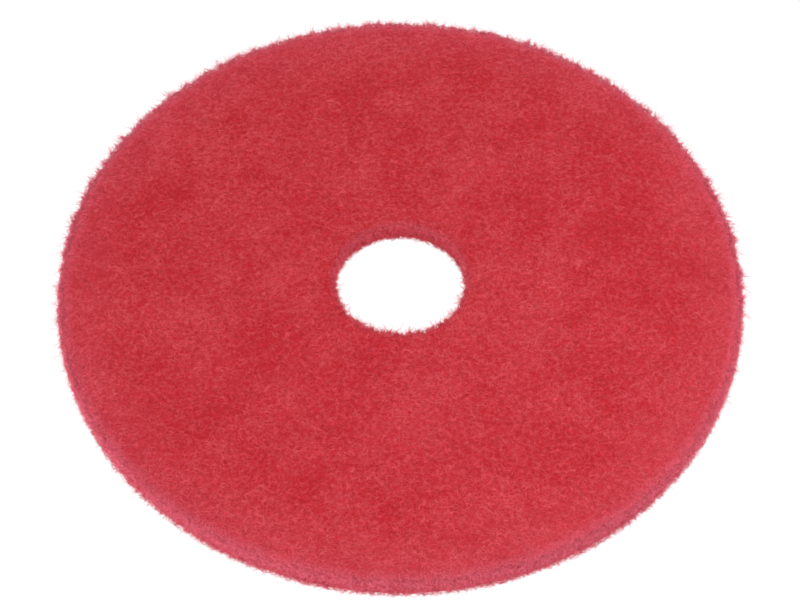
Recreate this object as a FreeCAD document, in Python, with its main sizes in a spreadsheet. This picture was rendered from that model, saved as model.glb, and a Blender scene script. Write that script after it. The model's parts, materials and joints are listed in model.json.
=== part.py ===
"""Round floor pad: one thick disc of open non-woven fibre web with a die-cut centre hole.

A rotary floor machine drives the pad flat on the floor. The bristles of its pad driver grip the upper
face, and the hub at the driver's centre stands in the hole. The disc is stamped from one bonded web in
a single stroke, so the whole pad is one piece with nothing sewn, glued or fastened to it.

Frame: millimetres, +Z up. The origin is the centre of the hole on the face that lies on the floor, and
the pad fills the space above it up to its free thickness.
"""
import FreeCAD
import Part
import Sketcher

import math
import os

PARTS_FOLDER = "parts"
SHEET_NAME = "Dimensions"
PAD_NODE = "floor_pad"

# Each driving dimension: its alias in the sheet, its value in mm, and what it is.
DIMENSIONS = [
    ("pad_diameter", 432.0, "outer diameter of a 17 inch pad"),
    ("hole_diameter", 82.5, "centre hole, stamped with a 3 1/4 inch die"),
    ("pad_thickness", 15.0, "free thickness of the web"),
    ("rim_round", 2.0, "soft corner where a face turns into the rim"),
    ("hole_round", 1.0, "soft corner where a face turns into the hole"),
]

UP = FreeCAD.Vector(0, 0, 1)
CENTRE = FreeCAD.Vector(0, 0, 0)
FIRST_RADIUS = 50.0  # mm, what a sketched circle is drawn at before the sheet sets its size
CIRCLE_CENTRE = 3  # the sketcher's number for the centre point of a circle
SKETCH_ORIGIN = (-1, 1)  # the sketcher's numbers for the sketch's own origin point
EDGE_MATCH = 0.01  # mm, how near an edge's radius is to the circle that it is picked by
VOLUME_MATCH = 1e-6  # relative, how near the stamped disc is to its calculated volume


def make_sheet(doc):
    """The spreadsheet of driving dimensions: name, value and meaning, one row each."""
    sheet = doc.addObject("Spreadsheet::Sheet", SHEET_NAME)
    for row, (alias, value, meaning) in enumerate(DIMENSIONS, start=1):
        sheet.set(f"A{row}", alias)
        sheet.set(f"B{row}", str(value))
        sheet.setAlias(f"B{row}", alias)
        sheet.set(f"C{row}", meaning)
    doc.recompute()
    return sheet


def floor_plane(body):
    """The body's own XY plane, where the pad's lower face lies."""
    return next(plane for plane in body.Origin.OriginFeatures if plane.Role == "XY_Plane")


def circle_sketch(body, name, diameter_alias):
    """One circle about the pad's centre on the floor plane, as wide as the sheet says."""
    sketch = body.newObject("Sketcher::SketchObject", name)
    sketch.AttachmentSupport = (floor_plane(body), [""])
    sketch.MapMode = "FlatFace"
    circle = sketch.addGeometry(Part.Circle(CENTRE, UP, FIRST_RADIUS), False)
    sketch.addConstraint(Sketcher.Constraint("Coincident", circle, CIRCLE_CENTRE, *SKETCH_ORIGIN))
    width = sketch.addConstraint(Sketcher.Constraint("Diameter", circle, 2 * FIRST_RADIUS))
    sketch.setExpression(f"Constraints[{width}]", f"{SHEET_NAME}.{diameter_alias}")
    return sketch


def add_disc(body):
    """The blank: a plain disc of web at full thickness."""
    disc = body.newObject("PartDesign::Pad", "Disc")
    disc.Profile = circle_sketch(body, "RimCircle", "pad_diameter")
    disc.setExpression("Length", f"{SHEET_NAME}.pad_thickness")
    return disc


def add_hole(body):
    """The centre hole, cut upwards from the floor plane through the whole thickness."""
    hole = body.newObject("PartDesign::Pocket", "CentreHole")
    hole.Profile = circle_sketch(body, "HoleCircle", "hole_diameter")
    hole.Type = "ThroughAll"
    hole.Reversed = True
    return hole


def circles_of(shape, diameter):
    """The names of the shape's edges that are full circles of this diameter."""
    names = []
    for number, edge in enumerate(shape.Edges, start=1):
        if isinstance(edge.Curve, Part.Circle) and abs(edge.Curve.Radius - diameter / 2) < EDGE_MATCH:
            names.append(f"Edge{number}")
    return names


def soften(body, base, name, diameter, radius_alias):
    """Round the upper and the lower circle of this diameter, as the cut edge of a web relaxes."""
    edges = circles_of(base.Shape, diameter)
    if len(edges) != 2:
        raise RuntimeError(f"{name}: {len(edges)} circles of diameter {diameter} mm, not 2")
    fillet = body.newObject("PartDesign::Fillet", name)
    fillet.Base = (base, edges)
    fillet.setExpression("Radius", f"{SHEET_NAME}.{radius_alias}")
    return fillet


def check_stamped_volume(hole, sheet):
    """Stop if the hole points away from the disc and so cuts nothing."""
    ring_area = math.pi / 4 * (sheet.pad_diameter**2 - sheet.hole_diameter**2)
    expected = ring_area * sheet.pad_thickness
    if abs(hole.Shape.Volume / expected - 1) > VOLUME_MATCH:
        raise RuntimeError(f"stamped disc holds {hole.Shape.Volume:.0f} mm3, not {expected:.0f}")


def make_floor_pad(doc, sheet):
    """The pad: a disc, its centre hole, and the soft corners at the rim and at the hole."""
    body = doc.addObject("PartDesign::Body", "FloorPad")
    body.Label = PAD_NODE
    add_disc(body)
    hole = add_hole(body)
    doc.recompute()
    check_stamped_volume(hole, sheet)
    rim = soften(body, hole, "RimCorners", sheet.pad_diameter, "rim_round")
    doc.recompute()
    soften(body, rim, "HoleCorners", sheet.hole_diameter, "hole_round")
    body.Placement = FreeCAD.Placement(CENTRE, FreeCAD.Rotation())
    return body


def check_document(doc, bodies):
    """Stop if any object failed to build, or if a sub-part has no valid shape."""
    for item in doc.Objects:
        if "Invalid" in item.State or "Error" in item.State:
            raise RuntimeError(f"{item.Name} failed: {item.State}")
    for body in bodies:
        if body.Shape.isNull() or not body.Shape.isValid():
            raise RuntimeError(f"{body.Label} has no valid shape")


def export(bodies):
    """Write each sub-part to its own STEP file, named after it."""
    os.makedirs(PARTS_FOLDER, exist_ok=True)
    for body in bodies:
        body.Shape.exportStep(f"{PARTS_FOLDER}/{body.Label}.step")
        box = body.Shape.optimalBoundingBox(False, False)
        size = f"{box.XLength:.2f} x {box.YLength:.2f} x {box.ZLength:.2f} mm"
        print(f"{body.Label}: {size}, {body.Shape.Volume / 1000:.1f} cm3, {len(body.Shape.Solids)} solid")


def main():
    doc = FreeCAD.newDocument("floor_pad")
    sheet = make_sheet(doc)
    bodies = [make_floor_pad(doc, sheet)]
    doc.recompute()
    check_document(doc, bodies)
    export(bodies)


main()
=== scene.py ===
"""Looks of a round non-woven floor pad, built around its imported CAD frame.

The pad is a lofty web of crimped fibres. Its inner mass is one closed mesh with a lumpy relief, and its
skin is real fibres: thin closed tubes that lie tangled over both faces and in the loose zone along the cut
walls, and that stick out there in tufts of loose ends. All lengths are metres in the CAD frame.
"""

import json
import math

import bpy
import numpy as np
from mathutils import Matrix, Vector


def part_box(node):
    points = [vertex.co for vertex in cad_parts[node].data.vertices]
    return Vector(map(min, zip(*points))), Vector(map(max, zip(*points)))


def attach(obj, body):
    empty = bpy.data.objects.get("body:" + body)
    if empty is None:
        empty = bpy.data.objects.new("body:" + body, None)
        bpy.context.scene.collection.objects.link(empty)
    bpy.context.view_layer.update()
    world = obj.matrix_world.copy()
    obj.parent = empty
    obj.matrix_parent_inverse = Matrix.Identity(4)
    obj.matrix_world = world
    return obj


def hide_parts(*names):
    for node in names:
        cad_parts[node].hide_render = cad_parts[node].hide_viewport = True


MM = 0.001
TAU = 2 * math.pi
BODY = "root"
NODE = "floor_pad"
WHITE = (1, 1, 1, 1)

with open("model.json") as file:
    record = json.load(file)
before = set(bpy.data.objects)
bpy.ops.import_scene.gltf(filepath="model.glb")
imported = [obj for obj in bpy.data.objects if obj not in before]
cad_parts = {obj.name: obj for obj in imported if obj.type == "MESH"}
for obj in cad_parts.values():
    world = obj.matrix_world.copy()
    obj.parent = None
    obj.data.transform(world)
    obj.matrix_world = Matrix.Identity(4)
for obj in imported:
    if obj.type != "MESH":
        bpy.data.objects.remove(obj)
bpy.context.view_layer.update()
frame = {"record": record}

# Driving sizes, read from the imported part. The hole's wall frays back from the die's cut, and its loose ends
# reach inward again.
PAD_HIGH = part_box(NODE)[1]
RIM = PAD_HIGH.x
TOP = PAD_HIGH.z
HOLE_MOUNT = next(m for m in frame["record"]["mounts"] if m["name"] == "centre_hole")
HOLE_FRAY = 0.9 * MM
HOLE = HOLE_MOUNT["dims"]["r_mm"] * MM + HOLE_FRAY

# The inner mass stands back from the pad's surface by the depth of the loose fibres on it. Its cut walls
# stand out towards the foot, and its lower corners are sharper, where the pad is pressed on the floor.
UPPER_SKIN = 0.7 * MM
LOWER_SKIN = 0.15 * MM
RIM_SKIN = 1.9 * MM
HOLE_SKIN = 1.5 * MM
RIM_FOOT = 1.3 * MM
HOLE_FOOT = 0.3 * MM
UPPER_CORNER = 1.3 * MM
LOWER_CORNER = 0.5 * MM

# The skin of fibres falls away by this much at the upper corners, and no loose end stands higher than this.
CORNER_FALL = 1.0 * MM
HIGHEST_END = TOP + 1.8 * MM

# How many fibres a full piece holds, and how many full pieces there are of each kind. The lower face lies on
# the floor, so it has fewer. The hole's wall and the nap take one smaller piece each.
FULL_PIECE = 9900
UPPER_PIECES = 11
LOWER_PIECES = 3
RIM_PIECES = 3
HOLE_FIBRES = 5400
NAP_ENDS = 3000

# The points along a long fibre and along a short loose end, the corners of their tubes, and how many ends
# grow together as a tuft.
FIBRE_KNOTS = 4
SPRIG_KNOTS = 5
TUBE_SIDES = 3
SPRIGS_PER_TUFT = 6


# ---------------------------------------------------------------- noise and relief

class Noise:
    """Smooth random values in space: a seeded lattice of numbers, blended between its points."""

    SIZE = 64

    def __init__(self, cell, seed):
        self.cell = cell
        self.values = np.random.default_rng(seed).uniform(-1, 1, (self.SIZE,) * 3)

    def __call__(self, points):
        at = points / self.cell
        corner = np.floor(at).astype(int)
        share = at - corner
        share = share * share * (3 - 2 * share)
        total = np.zeros(points.shape[:-1])
        for offset in np.ndindex(2, 2, 2):
            index = (corner + offset) % self.SIZE
            weight = np.prod(np.where(offset, share, 1 - share), axis=-1)
            total += weight * self.values[index[..., 0], index[..., 1], index[..., 2]]
        return total


swell = Noise(38 * MM, seed=11)
lumps = Noise(6.5 * MM, seed=12)
grain = Noise(2.2 * MM, seed=13)
tufts = Noise(2.3 * MM, seed=14)
wisps = Noise(1.1 * MM, seed=15)


def relief(points):
    """How far the web stands out at these points of its surface, along its own normal."""
    return MM * (0.20 * swell(points) + 0.20 * lumps(points) + 0.22 * grain(points))


def raggedness(radius, angle, height):
    """How far tufts stand out of the cut wall of this radius at these places on it: most at its top."""
    points = np.stack([radius * np.cos(angle), radius * np.sin(angle), height], axis=-1)
    share = 0.25 + 0.85 * height / TOP
    return share * MM * (1.4 * tufts(points) + 1.1 * wisps(points))


# ---------------------------------------------------------------- mesh helpers

def make_mesh(name, points, faces, materials, tint=None):
    """A smooth-shaded mesh object. faces is a list of index arrays, each array of one corner count."""
    corners = np.concatenate([f.ravel() for f in faces])
    counts = np.concatenate([np.full(len(f), f.shape[1]) for f in faces])
    starts = np.concatenate([[0], np.cumsum(counts)[:-1]])
    mesh = bpy.data.meshes.new(name)
    mesh.vertices.add(len(points))
    mesh.vertices.foreach_set("co", points.astype(np.float32).ravel())
    mesh.loops.add(len(corners))
    mesh.loops.foreach_set("vertex_index", corners.astype(np.int32))
    mesh.polygons.add(len(counts))
    mesh.polygons.foreach_set("loop_start", starts.astype(np.int32))
    for material in materials:
        mesh.materials.append(material)
    if tint is not None:
        mesh.polygons.foreach_set("material_index", tint.astype(np.int32))
    mesh.polygons.foreach_set("use_smooth", np.ones(len(counts), bool))
    mesh.update(calc_edges=True)
    mesh.validate()
    piece = bpy.data.objects.new(name, mesh)
    bpy.context.scene.collection.objects.link(piece)
    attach(piece, BODY)
    return piece


def unit(vectors):
    return vectors / (np.linalg.norm(vectors, axis=-1, keepdims=True) + 1e-12)


def tubes(rng, lines, radius):
    """Closed tubes along many lines: (n, k, 3) points, (n, k) radii."""
    n, k, _ = lines.shape
    along = unit(np.gradient(lines, axis=1))
    across = unit(np.cross(lines[:, -1] - lines[:, 0], rng.normal(size=(n, 3))))
    side = unit(np.cross(along, across[:, None]))
    other = np.cross(along, side)
    rings = []
    for number in range(TUBE_SIDES):
        angle = number * TAU / TUBE_SIDES
        rings.append(lines + (math.cos(angle) * side + math.sin(angle) * other) * radius[..., None])
    points = np.stack(rings, axis=2).reshape(-1, 3)
    corner = np.arange(TUBE_SIDES)
    following = (corner + 1) % TUBE_SIDES
    first = np.arange(n)[:, None] * k * TUBE_SIDES
    near = (first + np.arange(k - 1) * TUBE_SIDES)[..., None]
    far = near + TUBE_SIDES
    quads = np.stack([near + corner, near + following, far + following, far + corner], axis=-1)
    caps = np.concatenate([first + corner[::-1], first + (k - 1) * TUBE_SIDES + corner])
    return points, [quads.reshape(-1, 4), caps]


def fibre_piece(name, rng, fibres, thickness, materials):
    """One piece of many fibres.

    fibres holds their lines, and how light each one is, from 0 to 1, which picks its material. A fibre is
    thicker and thinner along its length, and narrows at both ends.
    """
    lines, light = fibres
    n, k, _ = lines.shape
    swelling = 1 + 0.18 * rng.normal(size=(n, k)).clip(-1.5, 1.5)
    radius = rng.uniform(*thickness, (n, 1)) / 2 * swelling
    radius[:, [0, -1]] *= 0.6
    lines[..., 2] = lines[..., 2].clip(radius, HIGHEST_END)
    points, faces = tubes(rng, lines, radius)
    which = (light * len(materials)).astype(int).clip(0, len(materials) - 1)
    tint = np.concatenate([np.repeat(which, (k - 1) * TUBE_SIDES), which, which])
    return make_mesh(name, points, faces, materials, tint)


# ---------------------------------------------------------------- fibre lines

def crimped(rng, heading, length, bend, crimp):
    """Flat wandering lines, as offsets (n, k, 2) from their middles, and their run (n, k) from -1 to 1."""
    n = len(length)
    run = np.linspace(-1, 1, FIBRE_KNOTS)[None, :] * np.ones((n, 1))
    along = run * length[:, None] / 2
    wave = rng.uniform(4, 9, (n, 1)) * MM
    turn = heading[:, None] + bend * rng.normal(size=(n, 1)) * run
    turn = turn + crimp * np.sin(TAU * (along / wave + rng.uniform(0, 1, (n, 1))))
    step = np.gradient(along, axis=1)
    line = np.stack([np.cumsum(np.cos(turn) * step, 1), np.cumsum(np.sin(turn) * step, 1)], axis=-1)
    return line - line[:, [FIBRE_KNOTS // 2]], run


def trimmed(lines, inside):
    """Each line cut back to the stretch about its middle that lies inside, and which lines are left."""
    n, k, _ = lines.shape
    middle = k // 2
    ahead = np.cumprod(inside[:, middle:], axis=1).sum(1) - 1
    behind = np.cumprod(inside[:, middle::-1], axis=1).sum(1) - 1
    share = np.linspace(0, 1, k)[None, :]
    at = (middle - behind)[:, None] * (1 - share) + (middle + ahead)[:, None] * share
    low = np.floor(at).astype(int).clip(0, k - 2)
    part = (at - low)[..., None]
    rows = np.arange(n)[:, None]
    kept = (ahead + behind) >= 2
    return (lines[rows, low] * (1 - part) + lines[rows, low + 1] * part)[kept], kept


def droop(far):
    """How far a face falls away at the rim and at the hole. It levels off a little past the edge."""
    past_rim = ((far - RIM) / UPPER_CORNER + 1).clip(0, 1.3)
    past_hole = ((HOLE - far) / UPPER_CORNER + 1).clip(0, 1.3)
    return CORNER_FALL * (past_rim**2 + past_hole**2)


def face_fibres(rng, count, upper):
    """Fibres that lie tangled over one face, cut off near the rim and the hole. Higher ones take paler tints,
    as painted light, and lower ones deeper tints, as painted shade.
    """
    radius = np.sqrt(rng.uniform(HOLE**2, RIM**2, count))
    angle = rng.uniform(0, TAU, count)
    middle = np.stack([radius * np.cos(angle), radius * np.sin(angle)], axis=-1)
    length = rng.uniform(4, 8, count) * MM
    line, run = crimped(rng, rng.uniform(0, TAU, count), length, bend=0.8, crimp=0.5)
    flat = middle[:, None] + line
    far = np.linalg.norm(flat, axis=-1)
    overhang = rng.uniform(-2.0, 2.0, (count, 1)) * MM
    face, skin = (TOP, UPPER_SKIN) if upper else (0.0, LOWER_SKIN)
    ground = np.concatenate([flat, np.full(flat.shape[:2] + (1,), face)], axis=-1)
    # level sets each fibre's height and also picks its tint: paler up high, painted light, and deeper down
    # low, painted shade.
    level = rng.uniform(0, 1, count)
    bed = (0.15 + 0.32 * level[:, None]) * MM
    arch = 0.25 * MM * (1 - run**2)
    height = relief(ground) - skin + bed + arch
    ground[..., 2] = face + height - droop(far) if upper else face - height
    lines, kept = trimmed(ground, (far < RIM + overhang) & (far > HOLE - overhang))
    return lines, (level + rng.normal(0, 0.2, count))[kept]


def wall_point(radius, outward, angle, height, proud):
    """Points by the cut wall of this radius. proud is their distance off its ragged, flared surface."""
    foot = RIM_FOOT if outward > 0 else HOLE_FOOT
    flare = foot * (1 - height / TOP)
    reach = radius + outward * (proud + flare + raggedness(radius, angle, height))
    return np.stack([reach * np.cos(angle), reach * np.sin(angle), height], axis=-1)


def wall_fibres(rng, count, radius, outward, skin):
    """Short fibres that lie every way in the loose zone of a cut wall, fewer towards its outside.

    A fibre that would pass the foot or the brink of the wall is folded back there.
    """
    length = rng.uniform(2.5, 5, count) * MM
    line, run = crimped(rng, rng.normal(0, 1.0, count), length, bend=0.8, crimp=0.6)
    angle = rng.uniform(0, TAU, count)[:, None] + line[..., 0] / radius
    brink = TOP - 0.2 * MM
    height = np.abs(rng.uniform(0, brink, count)[:, None] + line[..., 1])
    height = brink - np.abs(brink - height)
    depth = skin * (1.6 * np.sqrt(rng.uniform(0, 1, (count, 1))) - 0.6)
    slant = rng.normal(0, 0.8, (count, 1)) * run * MM
    rounding = CORNER_FALL * ((height - TOP) / UPPER_CORNER + 1).clip(0, 1)**2
    lines = wall_point(radius, outward, angle, height, slant - depth - rounding)
    return lines, rng.uniform(0, 1, count)


def sprigs(rng, roots, lean, size):
    """Short curled ends that grow from these roots, each of a random heading drawn towards its lean."""
    count = len(roots)
    heading = unit(0.7 * rng.normal(size=(count, 3)) + lean)
    curl = rng.normal(0, 0.6, (count, 1, 3))
    run = np.linspace(0, 1, SPRIG_KNOTS)[None, :, None]
    crimp = 0.07 * rng.normal(size=(count, SPRIG_KNOTS, 3))
    reach = rng.uniform(*size, (count, 1, 1))
    lines = roots[:, None] + reach * (heading[:, None] * run + curl * run**2 + crimp)
    return lines, rng.uniform(0, 1, count)


def wall_sprigs(rng, count, radius, outward, heights, lean, size):
    """Sprigs in tufts on a band of heights of a cut wall. lean is how far they are drawn out and up."""
    tuft = rng.integers(0, count // SPRIGS_PER_TUFT, count)
    angle = rng.uniform(0, TAU, count)[tuft] + rng.normal(0, 0.5 * MM, count) / radius
    height = rng.uniform(*heights, count)
    depth = rng.normal(1.2, 0.6, count) * MM
    roots = wall_point(radius, outward, angle, height, -depth)
    away, upward = lean
    out = outward * away
    drawn = np.stack([out * np.cos(angle), out * np.sin(angle), np.full(count, upward)], axis=-1)
    return sprigs(rng, roots, drawn + 0.7 * rng.normal(size=(count, 3))[tuft], size)


def nap(rng, count):
    """Short loose ends that stand up from the upper face, with no tufts."""
    radius = np.sqrt(rng.uniform(HOLE**2, RIM**2, count))
    angle = rng.uniform(0, TAU, count)
    height = np.full(count, TOP - 0.5 * MM)
    roots = np.stack([radius * np.cos(angle), radius * np.sin(angle), height], axis=-1)
    return sprigs(rng, roots, np.array([0, 0, 1.4]), (1.0 * MM, 2.2 * MM))


# ---------------------------------------------------------------- materials

def set_inputs(node, **values):
    """Sets a node's inputs by their names, written with _ for each space."""
    for name, value in values.items():
        node.inputs[name.replace("_", " ")].default_value = value


def new_material(name):
    material = bpy.data.materials.new(name)
    material.use_nodes = True
    return material, material.node_tree.nodes, material.node_tree.links


def noise_node(nodes, links, coords, period, detail):
    node = nodes.new("ShaderNodeTexNoise")
    set_inputs(node, Scale=1 / period, Detail=detail, Roughness=0.6)
    links.new(coords.outputs["Object"], node.inputs["Vector"])
    return node.outputs["Fac"]


def ramp_node(nodes, links, source, stops):
    ramp = nodes.new("ShaderNodeValToRGB")
    elements = ramp.color_ramp.elements
    while len(elements) < len(stops):
        elements.new(0.5)
    for element, (place, colour) in zip(elements, stops):
        element.position = place
        element.color = (*colour, 1)
    links.new(source, ramp.inputs["Fac"])
    return ramp.outputs["Color"]


def mixed(nodes, links, first, second, share):
    """The mean of two values, with this share of the second.

    A Mix node's sockets are found by number, because they share their names: 0 is the share, 2 and 3 are
    the values and 6 and 7 the colours, and the results are output 0 for values and 2 for colours.
    """
    mix = nodes.new("ShaderNodeMix")
    mix.inputs[0].default_value = share
    links.new(first, mix.inputs[2])
    links.new(second, mix.inputs[3])
    return mix.outputs[0]


def cut_and_sheen_share(nodes, links, coords):
    """How much the colour turns paler and pinker towards the cut walls, partly for the paler cut ends and
    partly as painted sheen and painted floor light: from 0 in the middle of the pad's face to 1 at the rim,
    and to about half of that at the hole.
    """
    flat = nodes.new("ShaderNodeVectorMath")
    flat.operation = "MULTIPLY"
    flat.inputs[1].default_value = (1 / RIM, 1 / RIM, 0)
    links.new(coords.outputs["Object"], flat.inputs[0])
    length = nodes.new("ShaderNodeVectorMath")
    length.operation = "LENGTH"
    links.new(flat.outputs[0], length.inputs[0])
    stops = [(HOLE, 0.45), (HOLE + 4 * MM, 0.0), (RIM - 40 * MM, 0.0), (RIM - 8 * MM, 0.2), (RIM, 1.0)]
    return ramp_node(nodes, links, length.outputs["Value"], [(r / RIM, (share,) * 3) for r, share in stops])


def strands(nodes, links, coords, period):
    """Bright winding lines on a dark ground: the contours of a noise."""
    noise = noise_node(nodes, links, coords, period, 1)
    return ramp_node(nodes, links, noise, [(0.44, (0,) * 3), (0.5, (1,) * 3), (0.56, (0,) * 3)])


def dyed_material(name, deep, light, cut_and_sheen_colour, rough, pattern):
    """Dyed fibre: mottled between two colours by a pattern and a broad noise. Towards the cut walls it turns
    paler and pinker, partly for the paler cut ends and partly as painted sheen and painted floor light.
    """
    material, nodes, links = new_material(name)
    shader = nodes["Principled BSDF"]
    set_inputs(shader, Specular_IOR_Level=0.3)
    coords = nodes.new("ShaderNodeTexCoord")
    fine = pattern(nodes, links, coords)
    mottle = mixed(nodes, links, fine, noise_node(nodes, links, coords, 30 * MM, 3), 0.5)
    colour = ramp_node(nodes, links, mottle, [(0.38, deep), (0.62, light)])
    # Paler and pinker at the rim and the hole: partly the cut ends, partly painted sheen and painted floor
    # light.
    cut_and_sheen_mix = nodes.new("ShaderNodeMix")
    cut_and_sheen_mix.data_type = "RGBA"
    links.new(cut_and_sheen_share(nodes, links, coords), cut_and_sheen_mix.inputs[0])
    links.new(colour, cut_and_sheen_mix.inputs[6])
    cut_and_sheen_mix.inputs[7].default_value = (*cut_and_sheen_colour, 1)
    links.new(cut_and_sheen_mix.outputs[2], shader.inputs["Base Color"])
    roughness = ramp_node(nodes, links, fine, [(0.3, (rough + 0.12,) * 3), (0.7, (rough - 0.12,) * 3)])
    links.new(roughness, shader.inputs["Roughness"])
    return material, nodes, links, fine


def fibre_material(name, deep, light, cut_and_sheen_colour, rough):
    """Single fibres, whose shade changes along them as the resin on them is thicker and thinner."""
    return dyed_material(name, deep, light, cut_and_sheen_colour, rough, lambda *tree: noise_node(*tree, 2.8 * MM, 0.5))[0]


def web_material():
    """The inner mass: the tangle seen deep down, in colour and as a bump. Its colours are darker than the
    fibres', as painted shade for its depth.
    """

    def tangle(nodes, links, coords):
        near = strands(nodes, links, coords, 2.4 * MM)
        far = strands(nodes, links, coords, 1.6 * MM)
        return mixed(nodes, links, near, far, 0.5)

    # The first two colours are darker than the fibres over the mass, painted shade for its depth; the third,
    # for the cut walls, is partly painted sheen and painted floor light.
    deep = (0.60, 0.022, 0.036)
    light = (0.78, 0.062, 0.082)
    cut_and_sheen_colour = (0.82, 0.115, 0.17)
    material, nodes, links, height = dyed_material("web_mass", deep, light, cut_and_sheen_colour, 0.8, tangle)
    bump = nodes.new("ShaderNodeBump")
    set_inputs(bump, Strength=0.8, Distance=0.3 * MM)
    links.new(height, bump.inputs["Height"])
    links.new(bump.outputs["Normal"], nodes["Principled BSDF"].inputs["Normal"])
    return material


# ---------------------------------------------------------------- pieces

def profile():
    """The web's cross-section, once round from the hole's lower corner.

    Each row is (r, z, outward r, outward z, spacing of the points round the ring). The cut walls and the
    corners have the finer rings, because tufts stand out there.
    """
    coarse = 2.3 * MM
    fine = 0.95 * MM
    points_round_corner = 5
    inner, outer = HOLE + HOLE_SKIN, RIM - RIM_SKIN
    low, high = LOWER_SKIN, TOP - UPPER_SKIN
    corners = [
        (inner - HOLE_FOOT, low, LOWER_CORNER, 1, 1),
        (outer + RIM_FOOT, low, LOWER_CORNER, -1, 1),
        (outer, high, UPPER_CORNER, -1, -1),
        (inner, high, UPPER_CORNER, 1, -1),
    ]
    arcs = []
    for number, (r, z, size, inwards, upwards) in enumerate(corners):
        turn = (number + 2 + np.linspace(0, 1, points_round_corner)) * math.pi / 2
        out = np.stack([np.cos(turn), np.sin(turn)], axis=-1)
        centre = np.array([r + inwards * size, z + upwards * size])
        arcs.append(np.column_stack([centre + size * out, out, np.full(len(turn), fine)]))
    rows = []
    for number, (arc, spacing) in enumerate(zip(arcs, (coarse, fine, coarse, fine))):
        begin, end = arc[-1], arcs[(number + 1) % 4][0]
        steps = round(np.linalg.norm((end - begin)[:2]) / spacing)
        share = np.arange(1, steps)[:, None] / steps
        straight = begin * (1 - share) + end * share
        straight[:, 4] = spacing
        rows += [arc, straight]
    return np.concatenate(rows)


def zipped(first_a, count_a, first_b, count_b):
    """Triangles between two closed rings of evenly spaced points, which may differ in count."""
    ends = np.concatenate([np.arange(1, count_a + 1) / count_a, np.arange(1, count_b + 1) / count_b])
    order = np.argsort(ends, kind="stable")
    on_a = order < count_a
    at_a = np.cumsum(on_a) - on_a
    at_b = np.cumsum(~on_a) - ~on_a
    ahead = np.where(on_a, first_a + (at_a + 1) % count_a, first_b + (at_b + 1) % count_b)
    return np.stack([first_a + at_a % count_a, ahead, first_b + at_b % count_b], axis=-1)


def make_web(rng):
    """The inner mass of the web: the cross-section carried round the axis as rings, with the relief on it."""
    points = []
    counts = []
    for r, z, out, up, spacing in profile():
        count = round(TAU * r / spacing)
        angle = (np.arange(count) + rng.uniform(-0.3, 0.3, count)) * TAU / count
        round_axis = np.stack([np.cos(angle), np.sin(angle), np.zeros(count)], axis=-1)
        normal = round_axis * out + np.array([0, 0, up])
        ground = round_axis * r + np.array([0, 0, z])
        proud = relief(ground) + out**2 * raggedness(RIM if out > 0 else HOLE, angle, np.full(count, z))
        made = ground + normal * proud[:, None]
        made[:, 2] = np.maximum(made[:, 2], 0)
        points.append(made)
        counts.append(count)
    firsts = np.concatenate([[0], np.cumsum(counts)])
    faces = []
    for number, count in enumerate(counts):
        after = (number + 1) % len(counts)
        faces.append(zipped(firsts[number], count, firsts[after], counts[after]))
    web = make_mesh("web", np.concatenate(points), faces, [web_material()])
    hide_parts(NODE)


def fibre_materials():
    """The tints of the fibres: three from deep red to pale, and a dark one for loose ends that is painted
    shade along the pad's outline.
    """
    # The paler, pinker colours at the cut walls are partly the cut ends and partly painted sheen and painted
    # floor light.
    cut_and_sheen_colour = (0.86, 0.142, 0.212)
    pale_cut_and_sheen = (0.92, 0.180, 0.260)
    dark_cut_and_sheen = (0.50, 0.070, 0.115)
    return [
        fibre_material("fibre_deep", (0.74, 0.024, 0.038), (0.84, 0.076, 0.098), cut_and_sheen_colour, 0.7),
        fibre_material("fibre_red", (0.74, 0.030, 0.046), (0.85, 0.088, 0.112), cut_and_sheen_colour, 0.6),
        fibre_material("fibre_pale", (0.74, 0.036, 0.056), (0.86, 0.102, 0.130), pale_cut_and_sheen, 0.5),
        # Painted shade: dark fibres among the loose ends stand for the shade along the pad's outline.
        fibre_material("fibre_painted_shade", (0.36, 0.026, 0.050), (0.50, 0.050, 0.080), dark_cut_and_sheen, 0.8),
    ]


def loose_ends(end_tints, crest_tints):
    """The pieces of loose ends on the cut walls.

    Each row is (name, count, radius, outward, band of heights, lean outward and upward, lengths, tints).
    The crests, at the top of the walls, have the most and the longest.
    """
    foot = (0.1 * MM, 2.0 * MM)
    wall = (0.5 * MM, TOP - 1.0 * MM)
    crest = (TOP - 1.8 * MM, TOP - 0.2 * MM)
    level = (1.0, 0.0)
    short = (0.6 * MM, 1.7 * MM)
    long = (1.0 * MM, 3.4 * MM)
    return [
        ("rim_foot", 5000, RIM, 1, foot, level, short, end_tints),
        ("rim_ends", 3500, RIM, 1, wall, level, short, end_tints),
        ("rim_crest_1", 7600, RIM, 1, crest, (1.0, 0.5), long, crest_tints),
        ("rim_crest_2", 7600, RIM, 1, crest, (1.0, 0.5), long, crest_tints),
        ("hole_foot", 700, HOLE, -1, foot, level, short, end_tints),
        ("hole_ends", 600, HOLE, -1, wall, level, short, end_tints),
        ("hole_crest", 4000, HOLE, -1, crest, (0.9, 0.4), long, crest_tints),
    ]


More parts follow.
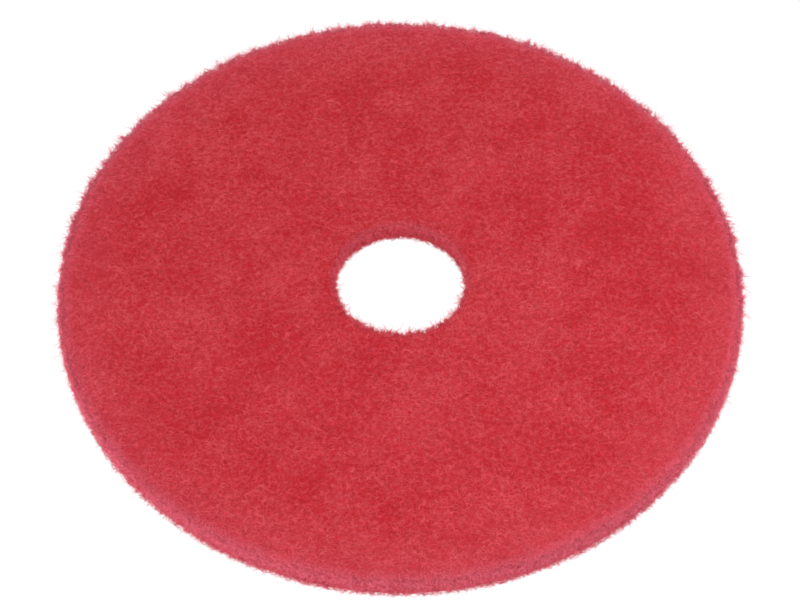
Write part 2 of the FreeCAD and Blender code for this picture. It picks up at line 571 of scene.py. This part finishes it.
def make_fibres(rng):
    """The skin of fibres. It is split over several pieces, so that no mesh gets too heavy."""
    deep, red, pale, shade_fibre = fibre_materials()
    # On the faces these three go by height: the pale one on high fibres is painted light, the deep one on low
    # fibres painted shade.
    tints = [deep, red, pale]
    # The dark tint among the loose ends is painted shade. The crests are mostly pale, as painted light against
    # the shade in their dense brush.
    end_tints = [shade_fibre, deep, red] + 3 * [pale]
    crest_tints = [shade_fibre, red, red] + 5 * [pale]
    thick = (0.24 * MM, 0.36 * MM)
    thin = (0.18 * MM, 0.28 * MM)
    for number in range(UPPER_PIECES):
        fibre_piece(f"upper_fibres_{number + 1}", rng, face_fibres(rng, FULL_PIECE, True), thick, tints)
    for number in range(LOWER_PIECES):
        fibre_piece(f"lower_fibres_{number + 1}", rng, face_fibres(rng, FULL_PIECE, False), thick, tints)
    for number in range(RIM_PIECES):
        fibres = wall_fibres(rng, FULL_PIECE, RIM, 1, RIM_SKIN)
        fibre_piece(f"rim_fibres_{number + 1}", rng, fibres, thin, tints)
    fibre_piece("hole_fibres", rng, wall_fibres(rng, HOLE_FIBRES, HOLE, -1, HOLE_SKIN), thin, tints)
    for name, *growth, shades in loose_ends(end_tints, crest_tints):
        fibre_piece(name, rng, wall_sprigs(rng, *growth), thin, shades)
    fibre_piece("upper_nap", rng, nap(rng, NAP_ENDS), thin, tints)


# ---------------------------------------------------------------- stage

def make_camera():
    """Looks down at the pad from the front. The angles, the distance and the aim are the photograph's."""
    elevation = math.radians(54.87)
    roll = math.radians(0.30)
    distance = 6.529 * RIM
    centre = Vector((0, 0, TOP / 2))
    aim = centre + Vector((-0.0015 * RIM, -0.0533 * RIM, 0))
    place = centre + distance * Vector((0, -math.cos(elevation), math.sin(elevation)))
    back = (place - aim).normalized()
    right = Vector((0, 0, 1)).cross(back).normalized()
    up = back.cross(right)
    turned = right * math.cos(roll) + up * math.sin(roll)
    above = up * math.cos(roll) - right * math.sin(roll)
    data = bpy.data.cameras.new("camera")
    data.sensor_width = 36
    data.lens = 99.46
    camera = bpy.data.objects.new("camera", data)
    camera.matrix_world = Matrix.Translation(place) @ Matrix((turned, above, back)).transposed().to_4x4()
    bpy.context.scene.collection.objects.link(camera)
    bpy.context.scene.camera = camera


def make_floor():
    """A plain white floor, large enough to fill every view. It glows, so that it stays white by the pad."""
    half = 6.0
    corners = [(-half, -half, 0), (half, -half, 0), (half, half, 0), (-half, half, 0)]
    mesh = bpy.data.meshes.new("floor")
    mesh.from_pydata(corners, [], [(0, 1, 2, 3)])
    floor = bpy.data.objects.new("floor", mesh)
    bpy.context.scene.collection.objects.link(floor)
    material, nodes, links = new_material("floor_white")
    shader = nodes["Principled BSDF"]
    set_inputs(shader, Base_Color=(0.08, 0.08, 0.08, 1), Roughness=0.9, Specular_IOR_Level=0.0)
    set_inputs(shader, Emission_Color=WHITE, Emission_Strength=0.96)
    mesh.materials.append(material)


def area_light(name, place, size, power):
    data = bpy.data.lights.new(name, "AREA")
    data.shape = "DISK"
    data.size = size
    data.energy = power
    light = bpy.data.objects.new(name, data)
    light.location = place
    light.rotation_mode = "QUATERNION"
    light.rotation_quaternion = Vector(place).to_track_quat("Z", "Y")
    light.visible_camera = False
    bpy.context.scene.collection.objects.link(light)


def make_room():
    """A white room, brighter near the horizon than overhead."""
    world = bpy.data.worlds.new("studio")
    world.use_nodes = True
    nodes, links = world.node_tree.nodes, world.node_tree.links
    coords = nodes.new("ShaderNodeTexCoord")
    parts = nodes.new("ShaderNodeSeparateXYZ")
    links.new(coords.outputs["Generated"], parts.inputs["Vector"])
    level = nodes.new("ShaderNodeMapRange")
    set_inputs(level, From_Min=0.05, From_Max=0.6, To_Min=1.0, To_Max=0.72)
    links.new(parts.outputs["Z"], level.inputs["Value"])
    links.new(level.outputs["Result"], nodes["Background"].inputs["Strength"])
    nodes["Background"].inputs["Color"].default_value = WHITE
    bpy.context.scene.world = world


def make_light():
    """An even room, a broad soft lamp over the pad's right side, and a low one in front on the left."""
    bpy.context.scene.view_settings.view_transform = "Standard"
    make_room()
    area_light("key", (0.50, -0.25, 0.85), size=0.7, power=4.8)
    area_light("fill", (-0.75, -0.75, 0.30), size=0.5, power=3.8)


random = np.random.default_rng(seed=7)
make_camera()
make_web(random)
make_fibres(random)
make_floor()
make_light()
